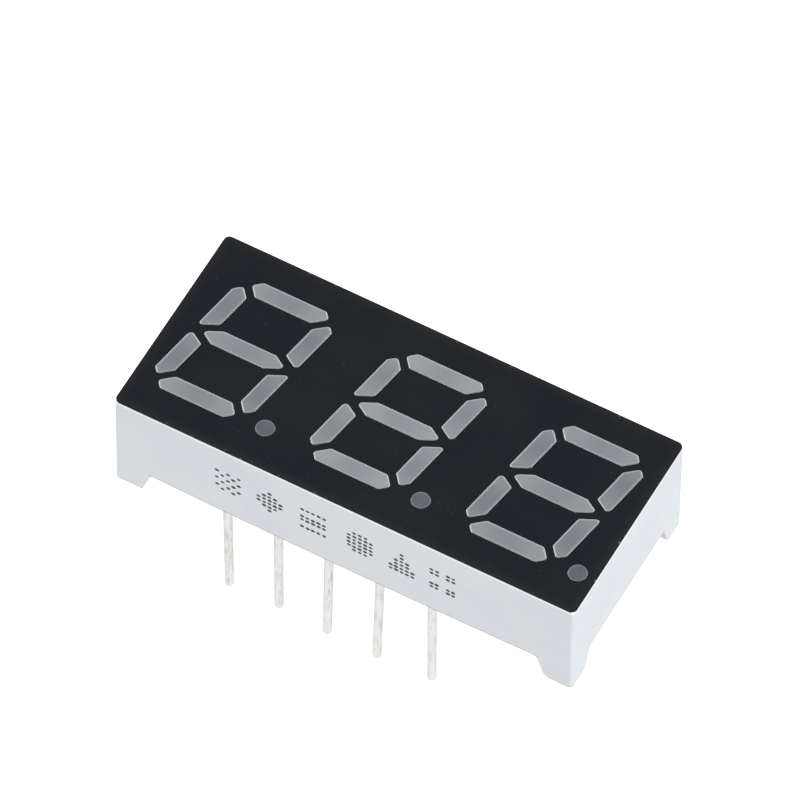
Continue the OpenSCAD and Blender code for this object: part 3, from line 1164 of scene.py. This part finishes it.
@dataclass
class WallPrint:
    """Dotted generic marks on the front wall, where the display has its print."""

    material: bpy.types.Material
    middles: tuple[float, ...] = (-5.65, -3.6, -1.45, 0.85, 2.9, 4.9)
    top_z: float = 10.8
    pitch_x: float = 0.27
    pitch_z: float = 0.26
    dot_w: float = 0.21
    dot_h: float = 0.165
    smallest: float = 0.86
    largest: float = 1.12
    proud: float = 0.004
    sides: int = 12
    jitter: float = 0.012
    seed: int = 7

    def build(self, front: float) -> None:
        """Build the print.

        Args:
            front: Y of the front wall, in metres.
        """
        mesh = bpy.data.meshes.new("wall_print")
        mesh.from_pydata(self.points(front), [], [])
        carrier = bpy.data.objects.new("wall_print_points", mesh)
        bpy.context.scene.collection.objects.link(carrier)
        tree, keys = self.tree()
        modifier = carrier.modifiers.new("dots", "NODES")
        modifier.node_group = tree
        modifier[keys["Dot width"]] = self.dot_w * MM
        modifier[keys["Dot height"]] = self.dot_h * MM
        modifier[keys["Ink depth"]] = 2 * self.proud * MM
        modifier[keys["Dot sides"]] = self.sides
        depsgraph = bpy.context.evaluated_depsgraph_get()
        plain = bpy.data.meshes.new_from_object(carrier.evaluated_get(depsgraph))
        carrier.modifiers.clear()
        bpy.data.objects.remove(carrier)
        plain.name = "wall_print"
        add_piece("wall_print", plain)

    def points(self, front: float) -> list[Vector]:
        """Work out the middle of each dot.

        Args:
            front: Y of the front wall, in metres.

        Returns:
            The middles, in metres.
        """
        rng = random.Random(self.seed)
        places = []
        for middle, pattern in zip(self.middles, Pattern, strict=True):
            for row, line in enumerate(pattern.value):
                for column, mark in enumerate(line):
                    if mark == "1":
                        x = middle + (column - len(line) // 2) * self.pitch_x
                        z = self.top_z - row * self.pitch_z
                        shift = [rng.uniform(-self.jitter, self.jitter) for _ in range(2)]
                        places.append(
                            Vector(((x + shift[0]) * MM, front, (z + shift[1]) * MM))
                        )
        return places

    def tree(self) -> tuple[bpy.types.NodeTree, dict[str, str]]:
        """Build the node tree that puts a thin closed dot at each point.

        Returns:
            The tree, and the identifier of each input by name.
        """
        tree = bpy.data.node_groups.new("dots_at_points", "GeometryNodeTree")
        face = tree.interface
        face.new_socket("Geometry", in_out="INPUT", socket_type="NodeSocketGeometry")
        keys = {}
        for label, kind in (
            ("Dot width", "NodeSocketFloat"),
            ("Dot height", "NodeSocketFloat"),
            ("Ink depth", "NodeSocketFloat"),
            ("Dot sides", "NodeSocketInt"),
        ):
            keys[label] = face.new_socket(label, in_out="INPUT", socket_type=kind).identifier
        face.new_socket("Geometry", in_out="OUTPUT", socket_type="NodeSocketGeometry")
        nodes, link = tree.nodes, tree.links.new
        given, out = nodes.new("NodeGroupInput"), nodes.new("NodeGroupOutput")
        # A dot of width, height and depth 1, which the inputs scale
        dot = nodes.new("GeometryNodeMeshCylinder")
        dot.inputs["Radius"].default_value = 0.5
        dot.inputs["Depth"].default_value = 1
        link(given.outputs["Dot sides"], dot.inputs["Vertices"])
        size = nodes.new("ShaderNodeCombineXYZ")
        link(given.outputs["Dot width"], size.inputs["X"])
        link(given.outputs["Dot height"], size.inputs["Y"])
        link(given.outputs["Ink depth"], size.inputs["Z"])
        vary = nodes.new("FunctionNodeRandomValue")
        vary.inputs[RANDOM_LOW].default_value = self.smallest
        vary.inputs[RANDOM_HIGH].default_value = self.largest
        vary.inputs["Seed"].default_value = self.seed
        scaled = nodes.new("ShaderNodeVectorMath")
        scaled.operation = "SCALE"
        link(size.outputs[0], scaled.inputs[0])
        link(vary.outputs[RANDOM_NUMBER], scaled.inputs["Scale"])
        put = nodes.new("GeometryNodeInstanceOnPoints")
        put.inputs["Rotation"].default_value = (math.pi / 2, 0, 0)
        link(given.outputs["Geometry"], put.inputs["Points"])
        link(dot.outputs["Mesh"], put.inputs["Instance"])
        link(scaled.outputs[0], put.inputs["Scale"])
        real = nodes.new("GeometryNodeRealizeInstances")
        link(put.outputs[0], real.inputs[0])
        dress = nodes.new("GeometryNodeSetMaterial")
        dress.inputs["Material"].default_value = self.material
        link(real.outputs[0], dress.inputs[0])
        link(dress.outputs[0], out.inputs[0])
        return tree, keys


@dataclass
class CadPieces:
    """The CAD pieces that show as they are, each with its slot's finish."""

    nodes: dict[str, bpy.types.Object]
    slots: dict[str, str]
    finishes: dict[str, bpy.types.Material]

    def build(self) -> None:
        """Give each CAD piece the material of its slot."""
        for name, obj in self.nodes.items():
            obj.data.materials.clear()
            obj.data.materials.append(self.finishes[self.slots[name]])


@dataclass(frozen=True)
class Lamp:
    """A square soft lamp: its place and side in metres, and its power in watts."""

    name: str
    spot: tuple[float, float, float]
    size: float
    power: float


@dataclass
class Studio:
    """Pale floor, soft light and the camera at the photograph's view."""

    azimuth: float = 28.252
    elevation: float = 55.898
    roll: float = 0.784
    focal: float = 12529.1
    distance: float = 539.454
    shift: tuple[float, float] = (-0.049, -0.954)
    face_z: float = 12.5
    image_width: int = 800
    sensor: float = 36.0
    clip: tuple[float, float] = (0.01, 10.0)
    room: float = 0.55
    floor_half: float = 2.0
    floor_drop: float = 0.00002
    floor_tone: float = 0.85
    floor_glow: float = 0.68
    lamps: tuple[Lamp, ...] = (
        Lamp("overhead", (0.0, -0.2, 0.8), 0.5, 3.15),
        Lamp("right", (0.6, -0.05, 0.25), 0.4, 1.22),
    )

    def axes(self) -> tuple[Vector, Vector, Vector]:
        """Work out the camera's directions right, up and back."""
        a, e, r = (math.radians(v) for v in (self.azimuth, self.elevation, self.roll))
        back = Vector((math.sin(a) * math.cos(e), -math.cos(a) * math.cos(e), math.sin(e)))
        level = Vector((math.cos(a), math.sin(a), 0))
        rise = back.cross(level)
        right = level * math.cos(r) + rise * math.sin(r)
        up = rise * math.cos(r) - level * math.sin(r)
        return right, up, back

    def camera(self) -> None:
        """Place the camera where the photograph was taken from."""
        right, up, back = self.axes()
        spot = back * self.distance - right * self.shift[0] - up * self.shift[1]
        data = bpy.data.cameras.new("camera")
        data.sensor_width = self.sensor
        data.lens = self.focal * self.sensor / self.image_width
        data.clip_start, data.clip_end = self.clip
        camera = bpy.data.objects.new("camera", data)
        turn = Matrix((right, up, back)).transposed().to_4x4()
        raised = (spot + Vector((0, 0, self.face_z))) * MM
        camera.matrix_world = Matrix.Translation(raised) @ turn
        bpy.context.scene.collection.objects.link(camera)
        bpy.context.scene.camera = camera

    def shows_white(self, nodes: Nodes) -> tuple[Socket, Socket]:
        """Tell apart the rays that see the white background.

        Args:
            nodes: Builder of the tree.

        Returns:
            1 for a camera ray, and 1 for a ray through gloss or glass.
        """
        path = nodes.add("ShaderNodeLightPath")
        through = nodes.math(
            "MAXIMUM", path.outputs["Is Glossy Ray"], path.outputs["Is Transmission Ray"]
        )
        return path.outputs["Is Camera Ray"], through

    def floor(self) -> None:
        """Lay the floor under the pins."""
        side = self.floor_half
        mesh = bpy.data.meshes.new("floor")
        corners = [(-side, -side), (side, -side), (side, side), (-side, side)]
        mesh.from_pydata([(x, y, -self.floor_drop) for x, y in corners], [], [(0, 1, 2, 3)])
        floor = bpy.data.objects.new("floor", mesh)
        bpy.context.scene.collection.objects.link(floor)
        material = bpy.data.materials.new("floor")
        material.use_nodes = True
        nodes = Nodes(material.node_tree)
        camera, through = self.shows_white(nodes)
        matt = nodes.add("ShaderNodeBsdfDiffuse")
        nodes.feed(matt.inputs["Color"], (self.floor_tone,) * 3)
        glow = nodes.add("ShaderNodeEmission")
        nodes.feed(glow.inputs["Strength"], nodes.math("MULTIPLY", camera, self.floor_glow))
        lit = nodes.add("ShaderNodeAddShader")
        nodes.feed(lit.inputs[0], matt.outputs[0])
        nodes.feed(lit.inputs[1], glow.outputs[0])
        white = nodes.add("ShaderNodeEmission")
        either = nodes.add("ShaderNodeMixShader")
        nodes.feed(either.inputs[0], through)
        nodes.feed(either.inputs[1], lit.outputs[0])
        nodes.feed(either.inputs[2], white.outputs[0])
        output = nodes.add("ShaderNodeOutputMaterial")
        nodes.feed(output.inputs["Surface"], either.outputs[0])
        mesh.materials.append(material)
        floor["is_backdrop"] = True

    def hang(self, lamp: Lamp) -> None:
        """Hang a lamp that faces the display.

        Args:
            lamp: The lamp.
        """
        data = bpy.data.lights.new(lamp.name, "AREA")
        data.size = lamp.size
        data.energy = lamp.power
        light = bpy.data.objects.new(lamp.name, data)
        light.location = lamp.spot
        light.rotation_euler = Vector(lamp.spot).to_track_quat("Z", "Y").to_euler()
        bpy.context.scene.collection.objects.link(light)

    def world(self) -> None:
        """Fill the room with soft light, and show it white."""
        world = bpy.data.worlds.new("room")
        world.use_nodes = True
        nodes = Nodes(world.node_tree)
        camera, through = self.shows_white(nodes)
        white = nodes.math("MAXIMUM", camera, through)
        strength = nodes.math(
            "ADD", self.room, nodes.math("MULTIPLY", white, 1 - self.room)
        )
        light = nodes.add("ShaderNodeBackground")
        nodes.feed(light.inputs["Color"], (1.0, 1.0, 1.0))
        nodes.feed(light.inputs["Strength"], strength)
        output = nodes.add("ShaderNodeOutputWorld")
        nodes.feed(output.inputs["Surface"], light.outputs[0])
        bpy.context.scene.world = world

    def build(self) -> None:
        """Set up the camera, the floor, the room and the lamps."""
        self.camera()
        self.floor()
        self.world()
        for lamp in self.lamps:
            self.hang(lamp)
        bpy.context.scene.view_settings.view_transform = "Standard"


def main() -> None:
    """Build the scene."""
    logging.basicConfig(level=logging.INFO, format="%(name)s: %(message)s")
    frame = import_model()
    Studio().build()
    finishes = Finishes()
    finishes.build()
    slots = {row["node"]: row["material_slot"] for row in frame["record"]["subparts"]}
    CadPieces(frame["nodes"], slots, finishes.made).build()
    ResinSlugs(frame["nodes"], finishes.made).build()
    FacePrint(frame["nodes"]["face_mask"], finishes.made["black_print"]).build()
    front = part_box("reflector_housing")[0].y
    WallPrint(finishes.made["wall_print"]).build(front)
    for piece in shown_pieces():
        LOG.info("%s: %d faces", piece.name, len(piece.data.polygons))


if __name__ == "__main__":
    main()
